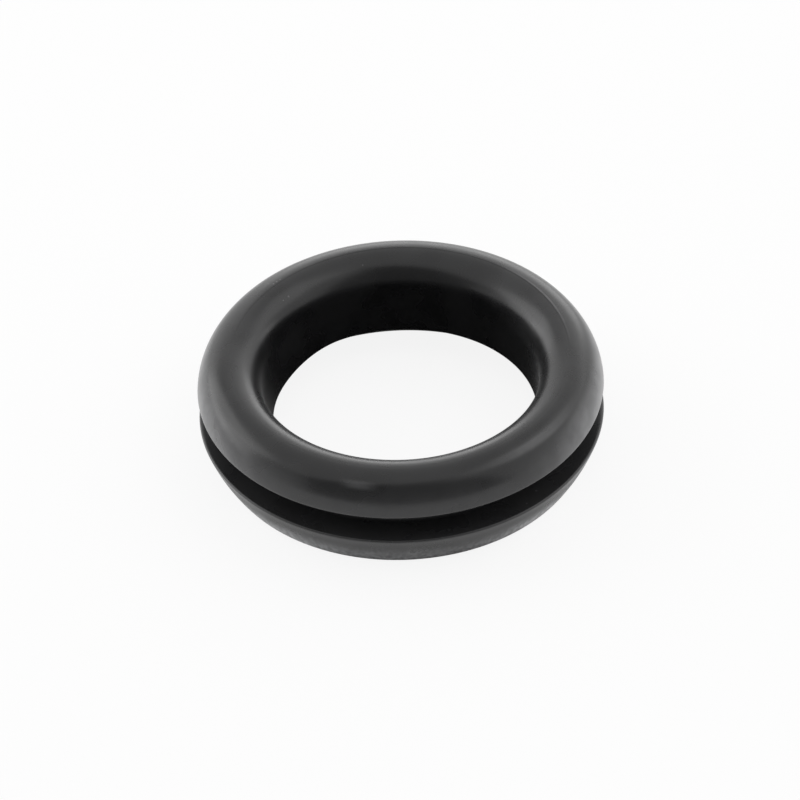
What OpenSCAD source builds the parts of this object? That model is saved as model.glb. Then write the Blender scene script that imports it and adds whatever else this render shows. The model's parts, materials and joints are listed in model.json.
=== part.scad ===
// Rubber cable grommet: one moulded ring with a panel groove between two flanges.
// The bore axis is Z, and the origin is on it at the middle of the panel groove.
// Every arc of the section is a true circle, set out by formula from the sizes below.

/* [Flanges] */
// Outside diameter of both flanges
flange_d = 30; // [28:0.5:32]

/* [Bore] */
// Diameter of the cable bore, along its straight throat
bore_d = 20; // [18:0.1:21]
// Slope of the mouth underneath, from the level
mouth_slope = 41.5; // [32:0.5:45]
// Rounding between the throat and the mouth
mouth_r = 0.3; // [0.2:0.1:1]

/* [Panel groove] */
// Diameter of the panel hole that the groove floor fills
panel_hole_d = 25; // [23:0.5:26.5]
// Width of the groove
groove_w = 2.2; // [1.4:0.1:3]
// Rounding in the corners of the groove floor
groove_r = 0.3; // [0.1:0.05:0.5]
// Rounding of the flange edges beside the groove
edge_r = 0.15; // [0.05:0.05:0.3]

/* [Upper flange] */
// Height of the crest above the groove
crest_h = 2.9; // [2.6:0.05:3.2]
// Width of the flat along the crest, where the mould parts
seam_w = 0.1; // [0.05:0.05:0.3]
// Radius of the crown's outer side
crown_r = 3.4; // [3.1:0.1:4]
// Rounding of the crown up to the crest
rim_r = 2.1; // [0.5:0.1:2.5]

/* [Lower flange] */
// Height of the skirt below the groove
skirt_h = 3.2; // [2.6:0.1:3.8]
// Lean of the skirt's side just below the groove, from upright
skirt_lean = 18; // [10:1:24]
// Radius of the skirt's side, which leans further in as it goes down
skirt_r = 12; // [9:0.5:20]
// Rounding of the foot
foot_r = 0.6; // [0.3:0.1:0.8]

/* [Hidden] */
$fn = 180;

flange_r = flange_d / 2;
throat_r = bore_d / 2;
floor_r = panel_hole_d / 2;
half_groove = groove_w / 2;
foot_z = -half_groove - skirt_h;
lap = 0.5; // how far the web runs into each flange
bite = 0.0002; // how far a rounding arc stands past the sides it touches, so that they cross

// Centres of the section's arcs, as [radius, height]
crown_c = [flange_r - crown_r, half_groove];
skirt_c = [flange_r, -half_groove] - skirt_r * heading(-skirt_lean);
foot_c = at_height(skirt_c, skirt_r - foot_r, foot_z + foot_r);
upper_edge_c = at_height(crown_c, crown_r - edge_r, half_groove + edge_r);
lower_edge_c = at_height(skirt_c, skirt_r - edge_r, -half_groove - edge_r);

// The mouth is a cone that touches the foot's arc and is rounded off into the throat
mouth_normal = -90 - mouth_slope;
foot_touch = foot_c + foot_r * heading(mouth_normal);
mouth_c = [throat_r + mouth_r, mouth_z(throat_r + mouth_r) + mouth_r / cos(mouth_slope)];

// The rim touches the crown's side and the crest; the flare is a quarter round from the crest to the throat
crest_z = half_groove + crest_h;
rim_c = at_height(crown_c, crown_r - rim_r, crest_z - rim_r);
flare_r = rim_c[0] - seam_w - throat_r;
flare_c = [throat_r + flare_r, crest_z - flare_r];

// Unit vector at an angle
function heading(a) = [cos(a), sin(a)];
// Angle of the line from one point to another
function bearing(from, to) = atan2(to[1] - from[1], to[0] - from[0]);
// Outer point of a circle at a height
function at_height(c, r, z) = [c[0] + sqrt(r * r - (z - c[1]) * (z - c[1])), z];
// Height of the mouth's cone at a radius
function mouth_z(r) = foot_touch[1] + (foot_touch[0] - r) * tan(mouth_slope);

// Wedge from c between two angles; its far corner is twice as far out as the one being rounded
module wedge(c, r, a1, a2) {
    tip = (heading(a1) + heading(a2)) / (1 + heading(a1) * heading(a2));
    polygon([c, c + 2 * r * heading(a1), c + 2 * r * tip, c + 2 * r * heading(a2)]);
}

// Its children with one corner rounded by an arc about c, which touches both sides
module rounded(c, r, a1, a2) {
    difference() {
        children();
        difference() {
            wedge(c, r, a1, a2);
            translate(c) circle(r + bite);
        }
    }
}

module crown_section() {
    intersection() {
        translate(crown_c) circle(crown_r);
        translate([0, half_groove]) square([flange_r, 2 * crown_r]);
    }
}

// Runs down to the point where the skirt's side meets the mouth; the foot's arc rounds that off
module skirt_section() {
    intersection() {
        translate(skirt_c) circle(skirt_r);
        translate([0, -flange_r]) square([flange_r, flange_r - half_groove]);
    }
}

module web_section() {
    translate([0, -half_groove - lap]) square([floor_r, groove_w + 2 * lap]);
}

// Fills the corner of the groove floor; side is 1 above and -1 below
module groove_fillet(side) {
    c = [floor_r + groove_r, side * (half_groove - groove_r)];
    difference() {
        translate([floor_r - lap, side * half_groove - (side > 0 ? groove_r : lap)])
            square([groove_r + lap, groove_r + lap]);
        translate(c) circle(groove_r);
        translate([floor_r + groove_r, -flange_r]) square(2 * flange_r);
    }
}

// What lies below the crest and outside the bore: the cone of the mouth, then the throat
module outside_bore() {
    polygon([[throat_r, crest_z], [throat_r, mouth_z(throat_r)],
             [flange_r, mouth_z(flange_r)], [flange_r, crest_z]]);
}

module sharp_section() {
    intersection() {
        union() {
            crown_section();
            skirt_section();
            web_section();
            groove_fillet(1);
            groove_fillet(-1);
        }
        outside_bore();
    }
}

module section() {
    rounded(rim_c, rim_r, bearing(crown_c, rim_c), 90)
    rounded(flare_c, flare_r, 180, 90)
    rounded(foot_c, foot_r, bearing(skirt_c, foot_c), mouth_normal)
    rounded(mouth_c, mouth_r, 180, mouth_normal)
    rounded(upper_edge_c, edge_r, bearing(crown_c, upper_edge_c), -90)
    rounded(lower_edge_c, edge_r, bearing(skirt_c, lower_edge_c), 90)
        sharp_section();
}

module grommet() {
    color([0.11, 0.11, 0.115])
        rotate_extrude() section();
}

grommet();
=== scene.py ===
"""Rubber cable grommet: the finished ring and its plain studio, laid out as a Blender add-on.

The grommet is one moulding. Its section is a closed row of arcs joined by straight stretches, and a
Geometry Nodes tree turns that section about the bore's axis, which is Z. All lengths are in metres,
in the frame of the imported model: the origin is on the axis, at the middle of the panel groove.
"""

import json
import math
from functools import partial

import bpy
from mathutils import Matrix, Vector


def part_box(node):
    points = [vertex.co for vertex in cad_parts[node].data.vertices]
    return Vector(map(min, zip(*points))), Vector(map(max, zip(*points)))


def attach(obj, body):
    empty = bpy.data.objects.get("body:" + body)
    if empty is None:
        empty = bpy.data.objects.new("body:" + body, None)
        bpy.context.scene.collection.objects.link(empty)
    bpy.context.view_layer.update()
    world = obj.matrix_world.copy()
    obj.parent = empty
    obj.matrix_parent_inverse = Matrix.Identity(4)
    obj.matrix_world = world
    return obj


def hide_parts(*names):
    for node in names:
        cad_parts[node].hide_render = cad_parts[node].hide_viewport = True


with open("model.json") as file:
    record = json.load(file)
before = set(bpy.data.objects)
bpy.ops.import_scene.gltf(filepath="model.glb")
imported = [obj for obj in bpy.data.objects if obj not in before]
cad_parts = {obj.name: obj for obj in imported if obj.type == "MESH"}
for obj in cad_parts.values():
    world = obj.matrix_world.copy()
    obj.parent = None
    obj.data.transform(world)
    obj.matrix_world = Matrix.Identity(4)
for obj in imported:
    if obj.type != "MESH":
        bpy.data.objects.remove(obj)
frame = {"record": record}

bl_info = {
    "name": "Rubber grommet",
    "version": (1, 0, 0),
    "blender": (4, 5, 0),
    "location": "View3D > Sidebar > Grommet",
    "description": "Builds a moulded rubber cable grommet and a plain studio round it",
    "category": "Add Mesh",
}

MM = 0.001
NODE = "grommet"
BODY = "root"
PIECE = "moulded_ring"
MOUNTS = {mount["name"]: mount for mount in frame["record"]["mounts"]}
LOWEST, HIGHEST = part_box(NODE)      # the corners of the grommet's box


# ---------------------------------------------------------------- small tools

def linear(hex_colour):
    """An sRGB hex colour, such as "#1a1a1b", as linear red, green, blue and alpha."""
    def channel(pair):
        value = int(pair, 16) / 255
        return value / 12.92 if value <= 0.04045 else ((value + 0.055) / 1.055) ** 2.4
    return tuple(channel(hex_colour[i:i + 2]) for i in (1, 3, 5)) + (1.0,)


# The kinds of node that the trees use most, and a setting that eases a range in and out
MATH = "ShaderNodeMath"
VECTOR = "ShaderNodeVectorMath"
RANGE = "ShaderNodeMapRange"
NOISE = "ShaderNodeTexNoise"
SMOOTH = {"interpolation_type": "SMOOTHSTEP"}

# A mix node's inputs share their names, so they go by number: the factor, then the two that are mixed
MIX_NUMBERS = (0, 2, 3)
MIX_COLOURS = (0, 6, 7)
MIXED_COLOUR = 2

LEVEL = (1, 1, 0)           # takes the height out of a place
WHITE = (1, 1, 1, 1)
BLACK = (0, 0, 0, 1)


def add_node(tree, kind, inputs=(), **settings):
    """Adds a node with its settings and returns its outputs.

    Its inputs are given by name or number, or as a list in their own order. Each is a value, or the
    output that feeds it.
    """
    node = tree.nodes.new(kind)
    for name, value in settings.items():
        setattr(node, name, value)
    fed = inputs.items() if isinstance(inputs, dict) else enumerate(inputs)
    for key, value in fed:
        if isinstance(value, bpy.types.NodeSocket):
            tree.links.new(value, node.inputs[key])
        else:
            node.inputs[key].default_value = value
    return node.outputs


def new_object(name, data):
    """A new object in the scene."""
    made = bpy.data.objects.new(name, data)
    bpy.context.scene.collection.objects.link(made)
    return made


def mm(*values):
    """Millimetres as metres."""
    return tuple(value * MM for value in values)


def length(label, what, default, **limits):
    """A length property in metres, shown in the scene's units."""
    return bpy.props.FloatProperty(
        name=label, description=what, default=default, unit="LENGTH", precision=5, **limits)


def angle(label, what, degrees):
    """An angle property, given here in degrees and held in radians."""
    return bpy.props.FloatProperty(
        name=label, description=what, default=math.radians(degrees), subtype="ANGLE")


def share(label, what, default, top=1.0):
    """A plain number from 0 to top."""
    return bpy.props.FloatProperty(name=label, description=what, default=default, min=0.0, max=top)


def colour(label, what, hex_colour):
    """A colour property, given here as sRGB hex and held as linear values."""
    return bpy.props.FloatVectorProperty(
        name=label, description=what, default=linear(hex_colour), size=4, subtype="COLOR", min=0.0, max=1.0)


# ---------------------------------------------------------------- sizes and settings

class RingSizes(bpy.types.PropertyGroup):
    """The sizes that set out the grommet's section"""
    flange_d: length("Flange diameter", "Outside diameter of both flanges", HIGHEST.x - LOWEST.x)
    bore_d: length("Bore", "Diameter of the cable bore at its lower edge",
                   2 * MM * MOUNTS["cable_bore"]["dims"]["r_mm"])
    draft: length("Draft", "How much the bore's radius grows up to the flare, so that it leaves the mould",
                  0.27 * MM)
    mouth_slope: angle("Mouth slope", "Slope of the mouth underneath, from the level", 41.5)
    mouth_r: length("Mouth rounding", "Rounding between the throat and the mouth", 0.3 * MM)
    panel_hole_d: length("Panel hole", "Diameter of the panel hole that the groove floor fills", 25 * MM)
    groove_w: length("Groove width", "Width of the panel groove", 2.2 * MM)
    groove_r: length("Groove rounding", "Rounding in the corners of the groove floor", 0.3 * MM)
    edge_r: length("Edge rounding", "Rounding of the flange edges beside the groove", 0.15 * MM)
    crest_h: length("Crest height", "Height of the crest above the groove", 2.9 * MM)
    seam_w: length("Seam flat", "Width of the flat along the crest, where the mould parts", 0.1 * MM)
    crown_r: length("Crown radius", "Radius of the crown's outer side", 3.4 * MM)
    rim_r: length("Rim rounding", "Rounding of the crown up to the crest", 2.1 * MM)
    skirt_lean: angle("Skirt lean", "Lean of the skirt's side just below the groove, from upright", 18)
    skirt_r: length("Skirt radius", "Radius of the skirt's side", 12 * MM)
    foot_r: length("Foot rounding", "Rounding of the foot", 0.6 * MM)


class RingDetail(bpy.types.PropertyGroup):
    """How finely the ring is made, and the small faults of its moulding"""
    segments: bpy.props.IntProperty(
        name="Segments", description="Facets round the ring", default=400, min=64, max=720)
    section_step: length("Section step", "Longest facet along the section", 0.13 * MM)
    wander: length("Wander", "How far the surface wanders from true, inwards", 0.008 * MM)
    wander_size: length("Wander size", "Distance over which the surface wanders", 4 * MM)
    swell: length("Swelling", "How far the foot of the bore's wall stands in on the left", 0.52 * MM)
    seam_h: length("Seam height", "Height of the mould's seam along the crest of the rim", 0.03 * MM)
    seam_half_w: length("Seam half width", "How far that seam's inner side reaches from the crest", 0.05 * MM)
    seed: bpy.props.IntProperty(name="Seed", description="Seed of the moulding's faults", default=7)


class RubberFinish(bpy.types.PropertyGroup):
    """Colours and gloss of the moulded rubber"""
    black: colour("Black", "Carbon-black rubber", "#151516")
    paler_black: colour("Second black", "The paler of the two blacks that mottle it", "#1d1d1e")
    # this pale grey serves real wax and dust, and also painted reflection, painted highlights and painted
    # light
    wax_film_and_painted_light: colour("Bloom", "A full film of the wax that has come to the rubber's surface", "#c8c8ca")
    roughness: share("Roughness", "Roughness of the moulded skin", 0.28)
    bloom_roughness: share("Bloom roughness", "Roughness under a full film of bloom", 0.42)
    ior: share("IOR", "Refractive index of rubber", 1.54, top=3.0)
    sheen: share("Sheen", "Pale edge light of the bloom and dust", 0.3)
    sheen_roughness: share("Sheen roughness", "How far that light spreads in from the edge", 0.25)
    mottle_size: length("Mottle size", "Distance between paler and darker places", 4 * MM)
    ripple_size: length("Ripple size", "Distance over which the skin ripples", 1.6 * MM)
    ripple: length("Ripple height", "Height of those ripples", 0.004 * MM)
    turning_size: length("Turning mark spacing", "Distance between the marks of the mould's lathe", 0.5 * MM)
    turning: length("Turning mark height", "Height of those marks", 0.005 * MM)
    grain_size: length("Grain size", "Size of the skin's fine grain", 0.26 * MM)
    grain: length("Grain height", "Height of that grain", 0.0005 * MM)


class StudioSetup(bpy.types.PropertyGroup):
    """Camera, floor and lights"""
    camera_distance: length("Camera distance", "From the middle of the groove to the camera", 1290 * MM)
    camera_elevation: angle("Camera elevation", "Height of the camera above the level", 40.28)
    camera_roll: angle("Camera roll", "Turn of the camera about its own axis, clockwise", 2.28)
    focal_length: bpy.props.FloatProperty(
        name="Focal length", description="Lens, in millimetres on a 36 mm sensor", default=786.8)
    aim_right: length("Aim right", "How far to the right of the origin the camera looks", -0.089 * MM)
    aim_up: length("Aim up", "How far above the origin the camera looks", -0.139 * MM)
    floor_size: length("Floor size", "Side of the square floor", 3.0)
    floor: colour("Floor", "White paper floor", "#fafafa")
    # inside this the floor is painted black for reflections: painted shade
    shade_d: length("Shade inside", "Across the deep shade inside the ring", 27 * MM)
    shade_edge: length("Shade's edge", "Width of that shade's soft edge", 2.2 * MM)
    floor_glow: share("Floor glow", "How much of the floor's white is its own", 0.88)
    ambient: share("Ambient", "Strength of the even light from all round", 0.23, top=4.0)


# ---------------------------------------------------------------- the section

BY_CREST = 4        # degrees of arc beside the crest that get finer facets
FEWEST = 5          # facets along the shortest arc or straight stretch
TOUCHING = 1 / 100  # arcs that end closer together than this share of a step touch
RIM, FLARE = 3, 5   # the rim's and the flare's places among the section's arcs, counted from 0


def heading(degrees):
    """Unit vector at an angle, in the plane of the section or seen from above."""
    return Vector((math.cos(math.radians(degrees)), math.sin(math.radians(degrees))))


def bearing(start, end):
    """Angle of the line from one point to another, in degrees."""
    return math.degrees(math.atan2(end.y - start.y, end.x - start.x))


def outer_point(centre, radius, height):
    """Outer point of a circle at a height."""
    return Vector((centre.x + math.sqrt(radius ** 2 - (height - centre.y) ** 2), height))


def section_arcs(s):
    """The section's arcs for sizes s, in order, anticlockwise, as (centre, radius, first angle, last angle).

    Points are (distance from the axis, height). Where one arc doesn't end at the start of the next,
    a straight stretch joins them: the groove's floor and walls, the crest's flat, the throat and the
    mouth's cone. The last few degrees up to the crest are arcs of their own, so that the mould's seam
    there gets finer facets.
    """
    flange_r, throat_r = s.flange_d / 2, s.bore_d / 2
    floor_r, half_groove = s.panel_hole_d / 2, s.groove_w / 2
    mouth_slope, skirt_lean = math.degrees(s.mouth_slope), math.degrees(s.skirt_lean)
    crown = Vector((flange_r - s.crown_r, half_groove))
    skirt = Vector((flange_r, -half_groove)) - s.skirt_r * heading(-skirt_lean)
    foot = outer_point(skirt, s.skirt_r - s.foot_r, LOWEST.z + s.foot_r)
    upper_edge = outer_point(crown, s.crown_r - s.edge_r, half_groove + s.edge_r)
    lower_edge = outer_point(skirt, s.skirt_r - s.edge_r, -half_groove - s.edge_r)

    mouth_normal = -90 - mouth_slope
    foot_touch = foot + s.foot_r * heading(mouth_normal)
    mouth_x = throat_r + s.mouth_r
    cone_height = foot_touch.y + (foot_touch.x - mouth_x) * math.tan(s.mouth_slope)
    mouth = Vector((mouth_x, cone_height + s.mouth_r / math.cos(s.mouth_slope)))
    crest_z = half_groove + s.crest_h
    rim = outer_point(crown, s.crown_r - s.rim_r, crest_z - s.rim_r)
    flare_r = rim.x - s.seam_w - throat_r - s.draft
    flare = Vector((rim.x - s.seam_w, crest_z - flare_r))
    wall_normal = 180 - math.degrees(math.atan2(s.draft, flare.y - mouth.y))

    fillet_x = floor_r + s.groove_r
    fillet_y = half_groove - s.groove_r
    return [
        (Vector((fillet_x, fillet_y)), s.groove_r, 180, 90),
        (upper_edge, s.edge_r, -90, bearing(crown, upper_edge)),
        (crown, s.crown_r, bearing(crown, upper_edge), bearing(crown, rim)),
        (rim, s.rim_r, bearing(crown, rim), 90 - BY_CREST),
        (rim, s.rim_r, 90 - BY_CREST, 90),
        (flare, flare_r, 90, 90 + BY_CREST),
        (flare, flare_r, 90 + BY_CREST, wall_normal),
        (mouth, s.mouth_r, wall_normal - 360, mouth_normal),
        (foot, s.foot_r, mouth_normal, bearing(skirt, foot)),
        (skirt, s.skirt_r, bearing(skirt, foot), bearing(skirt, lower_edge)),
        (lower_edge, s.edge_r, bearing(skirt, lower_edge), 90),
        (Vector((fillet_x, -fillet_y)), s.groove_r, 270, 180),
    ]


def crest_radius(sizes):
    """Distance from the axis to the middle of the flat along the crest."""
    rim_centre = section_arcs(sizes)[RIM][0]
    return rim_centre.x - sizes.seam_w / 2


def crown_height(sizes, out):
    """Height of the crown at a distance from the axis, on its rim's circle or its flare's."""
    arcs = section_arcs(sizes)
    rim_centre = arcs[RIM][0]
    centre, radius, *_ = arcs[RIM] if out > rim_centre.x else arcs[FLARE]
    return centre.y + math.sqrt(radius ** 2 - (out - centre.x) ** 2)


def arc_points(centre, radius, first, last, step):
    """Points along an arc, both ends included."""
    count = max(FEWEST, math.ceil(abs(math.radians(last - first)) * radius / step))
    return [centre + radius * heading(first + (last - first) * i / count) for i in range(count + 1)]


def section_outline(sizes, step):
    """Points round the whole section, no further apart than step."""
    arcs = [arc_points(*arc, step) for arc in section_arcs(sizes)]
    points = []
    for here, after in zip(arcs, arcs[1:] + arcs[:1]):
        points += here[:-1]
        gap = after[0] - here[-1]
        if gap.length > step * TOUCHING:
            count = max(FEWEST, math.ceil(gap.length / step))
            points += [here[-1] + gap * i / count for i in range(count)]
    return points


def section_object(sizes, detail):
    """The section as a closed loop of edges, standing in the XZ plane."""
    points = section_outline(sizes, detail.section_step)
    edges = [(i, (i + 1) % len(points)) for i in range(len(points))]
    mesh = bpy.data.meshes.new(PIECE)
    mesh.from_pydata([(p.x, 0, p.y) for p in points], edges, [])
    return new_object(PIECE, mesh)


# ---------------------------------------------------------------- turning the section

TREE_INPUTS = {
    "Section": "Geometry",
    "Segments": "Int",
    "Swelling": "Float",
    "Wander": "Float",
    "Wander size": "Float",
    "Seam height": "Float",
    "Seam half width": "Float",
    "Seam radius": "Float",
    "Seed": "Float",
    "Finish": "Material",
}
AXIS_RING_R = 1e-7          # the sweep follows a ring so small that it is the axis

# Where the foot of the bore's wall stands in. Each pair is where that begins and where it is full: the
# cosine of the angle from the X axis on the left, the height, and the distance from the bore's axis.
SWELL_LEFT = (math.cos(math.radians(65)), math.cos(math.radians(20)))
SWELL_HEIGHT = mm(2.5, -1.5)
SWELL_RADIUS = mm(12.4, 10.3)

SEAM_REAR = (-0.2, 0.4)     # sine of the angle behind the X axis where the seam begins, and where it is full
SEAM_TAIL = 4.0             # the seam's outer side is wider than its inner side by this many inner widths
SEAM_CHANGES = 60.0         # how often the seam's height changes in a metre: every 17 mm or so


def turning_tree():
    """Geometry Nodes: turns a closed section in the XZ plane about Z and adds the moulding's small faults."""
    tree = bpy.data.node_groups.new("Turned moulding", "GeometryNodeTree")
    put = partial(add_node, tree)
    tree.interface.new_socket("Geometry", in_out="OUTPUT", socket_type="NodeSocketGeometry")
    for name, kind in TREE_INPUTS.items():
        tree.interface.new_socket(name, in_out="INPUT", socket_type="NodeSocket" + kind)
    given = put("NodeGroupInput")

    # the sweep takes the profile's X outwards and its Y downwards, so the section is laid over first, and
    # the faces are turned afterwards to look outwards
    laid = put("GeometryNodeTransform", {"Geometry": given["Section"], "Rotation": (math.pi / 2, 0, 0)})[0]
    profile = put("GeometryNodeMeshToCurve", {"Mesh": laid})["Curve"]
    axis_ring = put("GeometryNodeCurvePrimitiveCircle", {
        "Resolution": given["Segments"], "Radius": AXIS_RING_R})["Curve"]
    swept = put("GeometryNodeCurveToMesh", {"Curve": axis_ring, "Profile Curve": profile})[0]
    turned = put("GeometryNodeFlipFaces", {"Mesh": swept})[0]

    place = put("GeometryNodeInputPosition")[0]
    normal = put("GeometryNodeInputNormal")[0]
    x, y, z = put("ShaderNodeSeparateXYZ", [place])
    x_squared = put(MATH, [x, x], operation="MULTIPLY")[0]
    y_squared = put(MATH, [y, y], operation="MULTIPLY")[0]
    radius_squared = put(MATH, [x_squared, y_squared], operation="ADD")[0]
    radius = put(MATH, [radius_squared], operation="SQRT")[0]

    # the ring was squeezed once and has stayed a little out of round: the foot of the bore's wall stands
    # in on the left
    minus_x = put(MATH, [x, -1.0], operation="MULTIPLY")[0]
    leftward = put(MATH, [minus_x, radius], operation="DIVIDE")[0]
    on_left = put(RANGE, [leftward, *SWELL_LEFT], **SMOOTH)[0]
    low_down = put(RANGE, [z, *SWELL_HEIGHT], **SMOOTH)[0]
    by_bore = put(RANGE, [radius, *SWELL_RADIUS], **SMOOTH)[0]
    low_on_left = put(MATH, [on_left, low_down], operation="MULTIPLY")[0]
    swelling = put(MATH, [by_bore, given["Swelling"]], operation="MULTIPLY")[0]
    stands_in = put(MATH, [low_on_left, swelling], operation="MULTIPLY")[0]
    inwards = put(MATH, [stands_in, -1.0], operation="MULTIPLY")[0]
    level = put(VECTOR, [place, LEVEL], operation="MULTIPLY")[0]
    outward = put(VECTOR, [level], operation="NORMALIZE")[0]
    squeezed = put(VECTOR, {0: outward, "Scale": inwards}, operation="SCALE")[0]

    # the skin wanders inwards only, so that the ring stays in its box
    density = put(MATH, [1.0, given["Wander size"]], operation="DIVIDE")[0]
    waves = put(NOISE, {"Vector": place, "W": given["Seed"], "Scale": density, "Detail": 1.0},
                noise_dimensions="4D")[0]
    depth = put(MATH, [waves, given["Wander"]], operation="MULTIPLY")[0]
    sunk = put(MATH, [depth, -1.0], operation="MULTIPLY")[0]

    # the mould's seam stands up along the crest at the rear, sharp on its inner side and drawn out on its
    # outer side, and fades in and out round the ring
    off_crest = put(MATH, [radius, given["Seam radius"]], operation="SUBTRACT")[0]
    outside = put(MATH, [off_crest, 0.0], operation="GREATER_THAN")[0]
    tail = put(MATH, [outside, SEAM_TAIL], operation="MULTIPLY")[0]
    skew = put(MATH, [1.0, tail], operation="ADD")[0]
    half_width = put(MATH, [given["Seam half width"], skew], operation="MULTIPLY")[0]
    across = put(MATH, [off_crest, half_width], operation="DIVIDE")[0]
    across_squared = put(MATH, [across, across], operation="MULTIPLY")[0]
    falling = put(MATH, [across_squared, -1.0], operation="MULTIPLY")[0]
    ridge = put(MATH, [falling], operation="EXPONENT")[0]
    rearward = put(MATH, [y, radius], operation="DIVIDE")[0]
    at_rear = put(RANGE, [rearward, *SEAM_REAR], **SMOOTH)[0]
    upper_half = put(MATH, [z, 0.0], operation="GREATER_THAN")[0]
    rear_crest = put(MATH, [upper_half, at_rear], operation="MULTIPLY")[0]
    rear_ridge = put(MATH, [ridge, rear_crest], operation="MULTIPLY")[0]
    uneven = put(NOISE, {"Vector": place, "W": given["Seed"], "Scale": SEAM_CHANGES, "Detail": 2.0},
                 noise_dimensions="4D")[0]
    seam_height = put(MATH, [uneven, given["Seam height"]], operation="MULTIPLY")[0]
    seam = put(MATH, [rear_ridge, seam_height], operation="MULTIPLY")[0]

    rise = put(MATH, [sunk, seam], operation="ADD")[0]
    faults = put(VECTOR, {0: normal, "Scale": rise}, operation="SCALE")[0]
    offset = put(VECTOR, [faults, squeezed], operation="ADD")[0]
    moved = put("GeometryNodeSetPosition", {"Geometry": turned, "Offset": offset})[0]
    smooth = put("GeometryNodeSetShadeSmooth", {"Geometry": moved})[0]
    real = put("GeometryNodeRealizeInstances", {"Geometry": smooth})[0]
    finished = put("GeometryNodeSetMaterial", {"Geometry": real, "Material": given["Finish"]})[0]
    put("NodeGroupOutput", [finished])
    return tree


def made_by_tree(section, tree, values):
    """Runs the tree on an object with the named values, and gives the object the result as its plain mesh."""
    modifier = section.modifiers.new("Turned", "NODES")
    modifier.node_group = tree
    for item in tree.interface.items_tree:
        if item.in_out == "INPUT" and item.name in values:
            modifier[item.identifier] = values[item.name]
    evaluated = section.evaluated_get(bpy.context.evaluated_depsgraph_get())
    mesh = bpy.data.meshes.new_from_object(evaluated)
    section.modifiers.remove(modifier)
    outline = section.data
    section.data = mesh
    mesh.name = section.name
    bpy.data.meshes.remove(outline)
    return section


# ---------------------------------------------------------------- materials

def new_material(name):
    """An empty node material, and the tree to build it in."""
    material = bpy.data.materials.new(name)
    material.use_nodes = True
    material.node_tree.nodes.clear()
    return material, material.node_tree


# Where the rubber's pale film lies, partly real wax and partly painted light: each pair is where it
# begins and where it is full, as a distance from the axis (R) or a height above the middle of the groove (H)
OUTER_SIDES_R = mm(13.9, 15.0)
SKIRT_R = mm(13.2, 13.5)
SKIRT_H = mm(-1.8, -3.8)
PAINTED_FOOT_SHADE_H = mm(-4.28, -4.05)       # the film ends above the foot, leaving it black: painted contact shade
FLANGES_H = mm(1.1, 1.3)        # up from the middle of the groove, and down
GROOVE_R = mm(12.3, 12.5)       # from the corners of the groove's floor outwards
# where the painted highlight on the lip lies
PAINTED_LIP_HIGHLIGHT_R = mm(11.9, 11.3)
PAINTED_LIP_HIGHLIGHT_H = mm(2.9, 3.3)
CROWN_H = mm(2.0, 2.5)

# How much film there is in these places, beside what the patches add
# on the outer sides the film is painted reflection of the bright surroundings, over a little real wax
OUTER_WAX_AND_PAINTED_REFLECTION = 0.03
# on the foot it is streaks of real wax carrying a painted reflection of the bright floor
FOOT_WAX_AND_PAINTED_REFLECTION = 0.15
# in the groove it is painted light, lifting the groove's shade
GROOVE_PAINTED_LIGHT = 0.03

# Patches of film, as (x, y, z, radius, strength), in millimetres apart from the strength
CROWN_PATCHES = [
    (9.7, 4.7, 3.3, 3.6, 0.035), (10.3, 3.5, 3.3, 1.3, 0.035), (7.9, 7.9, 3.5, 2.4, 0.025),
    (-7.3, 8.4, 3.5, 1.6, 0.015), (-12.6, -7.2, 2.9, 3.2, 0.01),
]
# the side patches are painted reflection at the left and right outer edges
SIDE_PAINTED_REFLECTION_PATCHES = [(14.5, -1.5, 1.0, 12.5, 0.42), (-14.5, -1.0, 1.0, 12.5, 0.36)]
# the foot patches are streaks of wax made paler as a painted reflection of the bright floor
FOOT_WAX_AND_PAINTED_REFLECTION_PATCHES = [(10.2, -9.4, -3.4, 9.0, 1.3), (-9.4, -10.0, -3.6, 9.0, 1.1), (0.0, -13.6, -3.8, 8.0, 0.45)]
# the lip patch is a painted highlight on the front lip
PAINTED_LIP_HIGHLIGHT_PATCHES = [(0.0, -11.2, 3.4, 12.0, 0.14)]

# Specks of dust on the crown and on the groove's lower wall, as (degrees round the ring from the X axis,
# distance from the axis, radius, strength), with lengths in millimetres. The last three on the crown are a
# short scratch.
CROWN_SPECKS = [
    (135.5, 11.25, 0.11, 0.20), (138.5, 11.25, 0.09, 0.17), (102.5, 11.35, 0.08, 0.14),
    (-92.5, 11.4, 0.10, 0.15), (-77.5, 12.05, 0.09, 0.10),
    (132.5, 12.75, 0.10, 0.15), (134.0, 12.75, 0.10, 0.20), (135.5, 12.75, 0.10, 0.20),
]
GROOVE_SPECKS = [(-45.5, 13.75, 0.13, 0.18), (-51.5, 14.3, 0.11, 0.14)]

# Painted highlights: pale lines that run round the crown, one along the seam's step just outside the crest
# and two along the edges of the crown's broad highlights, as (distance from the axis, half width, patch), in
# millimetres
CROWN_PAINTED_HIGHLIGHTS = [
    (12.66, 0.10, (11.1, 6.2, 4.0, 6.5, 0.14)),
    (13.78, 0.38, (9.9, -9.55, 3.66, 5.5, 0.11)),
    (14.05, 0.32, (-3.4, -13.65, 3.4, 1.8, 0.09)),
]
LINE_CORE = 0.3                 # share of a line's half width that has its full strength

# How the patterns are cut from their noise, most of which lies between 0.3 and 0.7
TWO_BLACKS = (0.35, 0.65)
MOST_NOISE = (0.3, 0.7)
CLOUDS = (0.65, 1.0)            # share of the film where it is thin, and where it is thick
STREAKS = (0.5, 1.0)            # the same, between the streaks and in them
STREAK_W = 0.3 * MM
UPRIGHT = (1.0, 1.0, 0.15)      # draws a pattern out upwards
MARK_DRIFT = 0.08               # how soon a lathe mark changes along its length, beside across it
MOTTLE_GLOSS = (-0.02, 0.02)    # what the mottle adds to the roughness, in its darker and paler places


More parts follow.
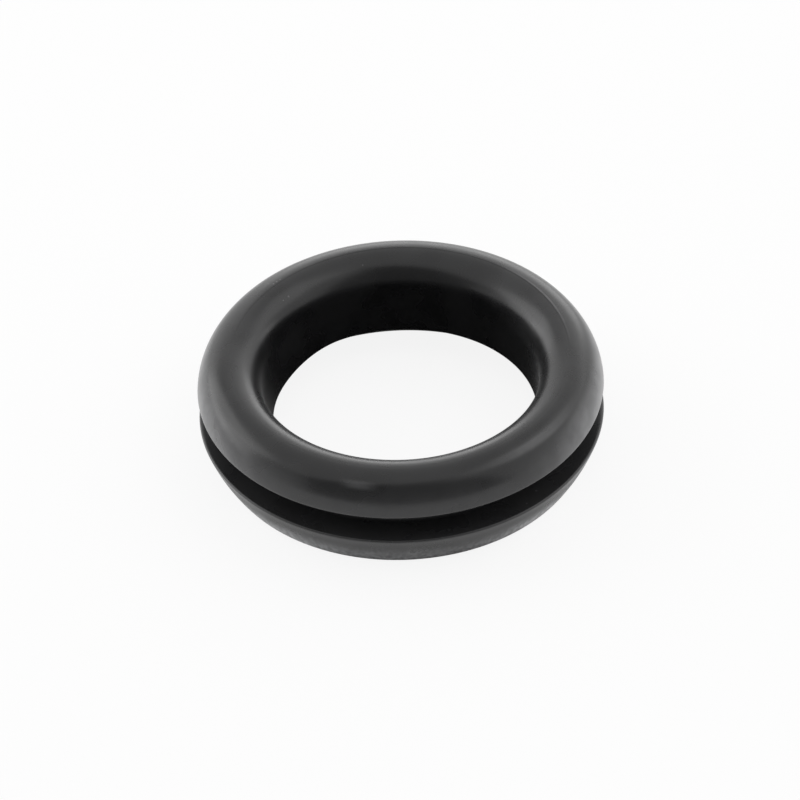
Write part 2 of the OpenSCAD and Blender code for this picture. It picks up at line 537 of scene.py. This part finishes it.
def dust(sizes):
    """The specks of dust, given as patches are, with their heights taken from the section."""
    heights = [crown_height(sizes, out * MM) for _, out, _, _ in CROWN_SPECKS]
    heights += [-sizes.groove_w / 2] * len(GROOVE_SPECKS)
    for (turn, out, size, strength), height in zip(CROWN_SPECKS + GROOVE_SPECKS, heights):
        x, y = out * heading(turn)
        yield x, y, height / MM, size, strength


def moulded_rubber(finish, sizes):
    """Carbon-black rubber, compression moulded against turned and polished steel.

    To the eye it is near black and satin, with soft, faintly rippled highlights from a skin that copied
    the mould. A thin pale film lies over it, partly real wax and partly painted light: painted reflection
    of the bright surroundings over a little wax on the outer sides, streaks of wax that carry a painted
    reflection of the floor down to the foot, the foot itself left black as painted contact shade, a painted
    highlight on the lip inside the front of the crown, patches of wax and lines of painted highlight along
    the crown, and painted light in the groove.
    """
    material, tree = new_material("black_rubber_moulded")
    put = partial(add_node, tree)
    place = put("ShaderNodeTexCoord")["Object"]
    height = put("ShaderNodeSeparateXYZ", [place])["Z"]
    level = put(VECTOR, [place, LEVEL], operation="MULTIPLY")[0]
    radius = put(VECTOR, [level], operation="LENGTH")["Value"]

    def spots(marks):
        """The film of some patches: each is thickest at its middle and ends at its radius."""
        total = 0.0
        for x, y, z, size, strength in marks:
            away = put(VECTOR, [place, mm(x, y, z)], operation="DISTANCE")["Value"]
            spot = put(RANGE, [away, size * MM, 0.0, 0.0, strength], **SMOOTH)[0]
            total = put(MATH, [total, spot], operation="ADD")[0]
        return total

    # two blacks in soft patches of a few millimetres
    tones = put(NOISE, {"Vector": place, "Scale": 1 / finish.mottle_size, "Detail": 3.0})[0]
    mottle = put(RANGE, [tones, *TWO_BLACKS], **SMOOTH)[0]
    blacks = dict(zip(MIX_COLOURS, (mottle, finish.black, finish.paler_black)))
    black = put("ShaderNodeMix", blacks, data_type="RGBA")[MIXED_COLOUR]

    # a pale film on the outer sides, clouded by the skin's ripples: painted reflection of the bright
    # surroundings at the edges, over a little real wax
    ripples = put(NOISE, {"Vector": place, "Scale": 1 / finish.ripple_size, "Detail": 2.0})[0]
    cloudy = put(RANGE, [ripples, *MOST_NOISE, *CLOUDS], **SMOOTH)[0]
    outer_sides = put(RANGE, [radius, *OUTER_SIDES_R], **SMOOTH)[0]
    cloudy_sides = put(MATH, [outer_sides, cloudy], operation="MULTIPLY")[0]
    side_painted_reflection = put(MATH, [spots(SIDE_PAINTED_REFLECTION_PATCHES), OUTER_WAX_AND_PAINTED_REFLECTION], operation="ADD")[0]
    outer_wax_and_painted_reflection = put(MATH, [cloudy_sides, side_painted_reflection], operation="MULTIPLY")[0]

    # upright streaks low on the skirt, drawn as coarse as they need to be to show: real streaks of wax, made
    # paler towards the foot as a painted reflection of the bright floor
    upright = put(VECTOR, [place, UPRIGHT], operation="MULTIPLY")[0]
    fibres = put(NOISE, {"Vector": upright, "Scale": 1 / STREAK_W, "Detail": 2.0})[0]
    streaky = put(RANGE, [fibres, *MOST_NOISE, *STREAKS], **SMOOTH)[0]
    low_down = put(RANGE, [height, *SKIRT_H], **SMOOTH)[0]
    on_skirt = put(RANGE, [radius, *SKIRT_R], **SMOOTH)[0]
    low_skirt = put(MATH, [low_down, on_skirt], operation="MULTIPLY")[0]
    streaks = put(MATH, [low_skirt, streaky], operation="MULTIPLY")[0]
    foot_painted_reflection = put(MATH, [spots(FOOT_WAX_AND_PAINTED_REFLECTION_PATCHES), FOOT_WAX_AND_PAINTED_REFLECTION], operation="ADD")[0]
    streaked = put(MATH, [streaks, foot_painted_reflection], operation="MULTIPLY")[0]
    # the film stops above the foot's rounding, leaving a black line there: painted contact shade
    above_painted_foot_shade = put(RANGE, [height, *PAINTED_FOOT_SHADE_H], **SMOOTH)[0]
    foot = put(MATH, [streaked, above_painted_foot_shade], operation="MULTIPLY")[0]

    # those two and the crown's patches keep to the flanges, and the groove's walls are made a little paler:
    # painted light in the groove's shade
    patchy = put(MATH, [spots(CROWN_PATCHES), cloudy], operation="MULTIPLY")[0]
    sides = put(MATH, [outer_wax_and_painted_reflection, foot], operation="ADD")[0]
    sides = put(MATH, [sides, patchy], operation="ADD")[0]
    from_middle = put(MATH, [height], operation="ABSOLUTE")[0]
    on_flanges = put(RANGE, [from_middle, *FLANGES_H], **SMOOTH)[0]
    film = put(MATH, [sides, on_flanges], operation="MULTIPLY")[0]
    in_groove = put(MATH, [1.0, on_flanges], operation="SUBTRACT")[0]
    # painted light in the groove's shade
    off_floor = put(RANGE, [radius, *GROOVE_R, 0.0, GROOVE_PAINTED_LIGHT], **SMOOTH)[0]
    groove_painted_light = put(MATH, [in_groove, off_floor], operation="MULTIPLY")[0]
    film = put(MATH, [film, groove_painted_light], operation="ADD")[0]

    # a painted highlight on the lip inside the front of the crown, painted highlights as pale lines along the
    # crown, and the specks of dust
    inner_side = put(RANGE, [radius, *PAINTED_LIP_HIGHLIGHT_R], **SMOOTH)[0]
    high_up = put(RANGE, [height, *PAINTED_LIP_HIGHLIGHT_H], **SMOOTH)[0]
    lip = put(MATH, [inner_side, high_up], operation="MULTIPLY")[0]
    painted_lip_highlight = put(MATH, [lip, spots(PAINTED_LIP_HIGHLIGHT_PATCHES)], operation="MULTIPLY")[0]
    film = put(MATH, [film, painted_lip_highlight], operation="ADD")[0]
    over_groove = put(RANGE, [height, *CROWN_H], **SMOOTH)[0]
    on_crown = put(MATH, [over_groove, cloudy], operation="MULTIPLY")[0]
    # each line is a painted highlight
    for line_r, half_width, patch in CROWN_PAINTED_HIGHLIGHTS:
        past_line = put(MATH, [radius, line_r * MM], operation="SUBTRACT")[0]
        off_line = put(MATH, [past_line], operation="ABSOLUTE")[0]
        across = put(RANGE, [off_line, half_width * MM, LINE_CORE * half_width * MM], **SMOOTH)[0]
        line = put(MATH, [across, spots([patch])], operation="MULTIPLY")[0]
        clouded_painted_highlight = put(MATH, [line, on_crown], operation="MULTIPLY")[0]
        film = put(MATH, [film, clouded_painted_highlight], operation="ADD")[0]
    film = put(MATH, [film, spots(dust(sizes))], operation="ADD")[0]
    film = put("ShaderNodeClamp", [film])[0]

    # the film is paler and rougher than the rubber
    coats = dict(zip(MIX_COLOURS, (film, black, finish.wax_film_and_painted_light)))
    skin = put("ShaderNodeMix", coats, data_type="RGBA")[MIXED_COLOUR]
    film_gloss = put(RANGE, [film, 0.0, 1.0, finish.roughness, finish.bloom_roughness], **SMOOTH)[0]
    mottle_gloss = put(RANGE, [mottle, 0.0, 1.0, *MOTTLE_GLOSS], **SMOOTH)[0]
    roughness = put(MATH, [film_gloss, mottle_gloss], operation="ADD")[0]

    # relief: ripples a millimetre or two long, the skin's grain, and marks of the mould's lathe, which run
    # round the ring, each a dozen times longer than it is wide. The grain and the lathe marks are drawn
    # coarser than they are, so that they show.
    grain = put(NOISE, {"Vector": place, "Scale": 1 / finish.grain_size, "Detail": 1.0})[0]
    section = put("ShaderNodeCombineXYZ", {"X": radius, "Z": height})[0]
    drift = put(VECTOR, {0: place, "Scale": MARK_DRIFT}, operation="SCALE")[0]
    along = put(VECTOR, [section, drift], operation="ADD")[0]
    marks = put(NOISE, {"Vector": along, "Scale": 1 / finish.turning_size, "Detail": 2.0})[0]
    ripple_relief = put(MATH, [ripples, finish.ripple], operation="MULTIPLY")[0]
    grain_relief = put(MATH, [grain, finish.grain], operation="MULTIPLY")[0]
    mark_relief = put(MATH, [marks, finish.turning], operation="MULTIPLY")[0]
    relief = put(MATH, [ripple_relief, grain_relief], operation="ADD")[0]
    relief = put(MATH, [relief, mark_relief], operation="ADD")[0]
    surface = put("ShaderNodeBump", {"Strength": 1.0, "Distance": 1.0, "Height": relief})[0]
    shader = put("ShaderNodeBsdfPrincipled", {
        "Base Color": skin,
        "Roughness": roughness,
        "IOR": finish.ior,
        "Sheen Weight": finish.sheen,
        "Sheen Roughness": finish.sheen_roughness,
        "Normal": surface,
    })[0]
    put("ShaderNodeOutputMaterial", {"Surface": shader})
    return material


def white_paper(studio):
    """White background paper, matt.

    To the eye it is plain white with the ring's faint shadow. It shows white to the camera and in
    reflections, apart from a disc inside the ring that reflections see black: painted shade.
    """
    material, tree = new_material("white_paper")
    put = partial(add_node, tree)
    paper = put("ShaderNodeBsdfDiffuse", {"Color": studio.floor})[0]
    white = put("ShaderNodeEmission", {"Color": WHITE, "Strength": 1.0})[0]
    rays = put("ShaderNodeLightPath")
    seen = put(MATH, [rays["Is Camera Ray"], rays["Is Glossy Ray"]], operation="MAXIMUM")[0]
    glow = put(MATH, [seen, studio.floor_glow], operation="MULTIPLY")[0]
    lit = put("ShaderNodeMixShader", [glow, paper, white])[0]

    # reflected in the bore's wall, the paper inside the ring is painted black: painted shade, standing in for
    # the deep shade there
    place = put("ShaderNodeTexCoord")["Object"]
    level = put(VECTOR, [place, LEVEL], operation="MULTIPLY")[0]
    off_axis = put(VECTOR, [level], operation="LENGTH")["Value"]
    shade_r = studio.shade_d / 2
    inside = put(RANGE, [off_axis, shade_r, shade_r + studio.shade_edge, 1.0, 0.0])[0]
    shaded = put(MATH, [inside, rays["Is Glossy Ray"]], operation="MULTIPLY")[0]
    # painted shade
    painted_shade_black = put("ShaderNodeBsdfDiffuse", {"Color": BLACK})[0]
    floor = put("ShaderNodeMixShader", [shaded, lit, painted_shade_black])[0]

    # seen from below, the paper isn't there, so that the underside of the ring shows
    clear = put("ShaderNodeBsdfTransparent")[0]
    below = put("ShaderNodeNewGeometry")["Backfacing"]
    sided = put("ShaderNodeMixShader", [below, floor, clear])[0]
    put("ShaderNodeOutputMaterial", {"Surface": sided})
    return material


# ---------------------------------------------------------------- the studio

# Softboxes as (name, azimuth, elevation, width, height, brightness): azimuth 0 is behind the ring and
# 90 on its right, angles and sizes are in degrees as seen from the ring, and a brightness of 1 is white.
SOFTBOXES = [
    ("top_softbox", -13, 77, 128, 81, 0.60),
    ("back_softbox", 10, 10.5, 42, 21, 1.3),
    ("wide_softbox", 3, 18.5, 150, 37, 0.94),
    ("left_softbox", -67, 21, 49, 42, 1.28),
    ("far_left_softbox", -94, 13, 59, 26, 0.50),
    ("right_softbox", 95, 33, 67, 66, 0.64),
]
BOX_DISTANCE = 0.6              # from the origin to each softbox
SENSOR_WIDTH = 36.0             # millimetres
NEAREST, FARTHEST = 0.1, 10.0   # what the camera sees lies between these distances


def add_softbox(name, azimuth, elevation, width, height, brightness):
    """A rectangular area light that faces the ring, hidden from the camera."""
    light = bpy.data.lights.new(name, "AREA")
    light.shape = "RECTANGLE"
    light.size = 2 * BOX_DISTANCE * math.tan(math.radians(width / 2))
    light.size_y = 2 * BOX_DISTANCE * math.tan(math.radians(height / 2))
    light.energy = brightness * light.size * light.size_y * math.pi
    turn, rise = math.radians(azimuth), math.radians(elevation)
    away = Vector((math.sin(turn) * math.cos(rise), math.cos(turn) * math.cos(rise), math.sin(rise)))
    lamp = new_object(name, light)
    lamp.location = away * BOX_DISTANCE
    lamp.rotation_euler = away.to_track_quat("Z", "Y").to_euler()
    lamp.visible_camera = False


def add_floor(studio):
    """The floor, level with the grommet's foot."""
    half, z = studio.floor_size / 2, LOWEST.z
    mesh = bpy.data.meshes.new("floor")
    corners = [(-half, -half, z), (half, -half, z), (half, half, z), (-half, half, z)]
    mesh.from_pydata(corners, [], [(0, 1, 2, 3)])
    mesh.materials.append(white_paper(studio))
    floor = new_object("floor", mesh)


def add_world(studio):
    """Even light from all round, which the camera sees as white."""
    world = bpy.data.worlds.new("studio")
    world.use_nodes = True
    world.node_tree.nodes.clear()
    put = partial(add_node, world.node_tree)
    camera_ray = put("ShaderNodeLightPath")["Is Camera Ray"]
    strength = put("ShaderNodeMix", dict(zip(MIX_NUMBERS, (camera_ray, studio.ambient, 1.0))))[0]
    background = put("ShaderNodeBackground", {"Color": WHITE, "Strength": strength})[0]
    put("ShaderNodeOutputWorld", {"Surface": background})
    bpy.context.scene.world = world


def add_camera(studio):
    """A camera with a very long lens, looking down on the ring from the front."""
    data = bpy.data.cameras.new("camera")
    data.lens = studio.focal_length
    data.sensor_width = SENSOR_WIDTH
    data.clip_start = NEAREST
    data.clip_end = FARTHEST
    back = Vector((0, -math.cos(studio.camera_elevation), math.sin(studio.camera_elevation)))
    upright = back.to_track_quat("Z", "Y")
    across = upright @ Vector((studio.aim_right, studio.aim_up, 0))
    turned = upright.to_matrix() @ Matrix.Rotation(-studio.camera_roll, 3, "Z")
    camera = new_object("camera", data)
    camera.location = back * studio.camera_distance + across
    camera.rotation_euler = turned.to_euler()
    bpy.context.scene.camera = camera


# ---------------------------------------------------------------- operators and panel

class GROMMET_OT_ring(bpy.types.Operator):
    """Turn the moulded rubber ring from its section"""
    bl_idname = "grommet.ring"
    bl_label = "Moulded ring"

    def execute(self, context):
        scene = context.scene
        sizes = scene.grommet_sizes
        detail = scene.grommet_detail
        ring = made_by_tree(section_object(sizes, detail), turning_tree(), {
            "Segments": detail.segments,
            "Swelling": detail.swell,
            "Wander": detail.wander,
            "Wander size": detail.wander_size,
            "Seam height": detail.seam_h,
            "Seam half width": detail.seam_half_w,
            "Seam radius": crest_radius(sizes),
            "Seed": float(detail.seed),
            "Finish": moulded_rubber(scene.grommet_finish, sizes),
        })
        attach(ring, BODY)
        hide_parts(NODE)
        return {"FINISHED"}


class GROMMET_OT_studio(bpy.types.Operator):
    """Set up the floor, the lights and the camera"""
    bl_idname = "grommet.studio"
    bl_label = "Studio"

    def execute(self, context):
        studio = context.scene.grommet_studio
        context.scene.view_settings.view_transform = "Standard"
        add_camera(studio)
        add_floor(studio)
        add_world(studio)
        for box in SOFTBOXES:
            add_softbox(*box)
        return {"FINISHED"}


class GROMMET_PT_sidebar(bpy.types.Panel):
    """The grommet's tools and settings"""
    bl_label = "Rubber grommet"
    bl_idname = "GROMMET_PT_sidebar"
    bl_space_type = "VIEW_3D"
    bl_region_type = "UI"
    bl_category = "Grommet"

    def draw(self, context):
        layout = self.layout
        for operator, groups in STEPS:
            layout.operator(operator.bl_idname)
            for group in groups:
                settings = getattr(context.scene, group)
                column = layout.column(align=True)
                for name in settings.__annotations__:
                    column.prop(settings, name)


STEPS = (
    (GROMMET_OT_studio, ("grommet_studio",)),
    (GROMMET_OT_ring, ("grommet_sizes", "grommet_detail", "grommet_finish")),
)
GROUPS = {
    "grommet_sizes": RingSizes,
    "grommet_detail": RingDetail,
    "grommet_finish": RubberFinish,
    "grommet_studio": StudioSetup,
}
CLASSES = (*GROUPS.values(), GROMMET_OT_ring, GROMMET_OT_studio, GROMMET_PT_sidebar)


def register():
    """Makes the operators, the panel and the settings known to Blender."""
    for cls in CLASSES:
        bpy.utils.register_class(cls)
    for name, group in GROUPS.items():
        setattr(bpy.types.Scene, name, bpy.props.PointerProperty(type=group))


def unregister():
    """Takes them away again."""
    for name in GROUPS:
        delattr(bpy.types.Scene, name)
    for cls in reversed(CLASSES):
        bpy.utils.unregister_class(cls)


def main():
    """Builds the studio and the grommet."""
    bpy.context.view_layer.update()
    register()
    bpy.ops.grommet.studio()
    bpy.ops.grommet.ring()


if __name__ == "__main__":
    main()
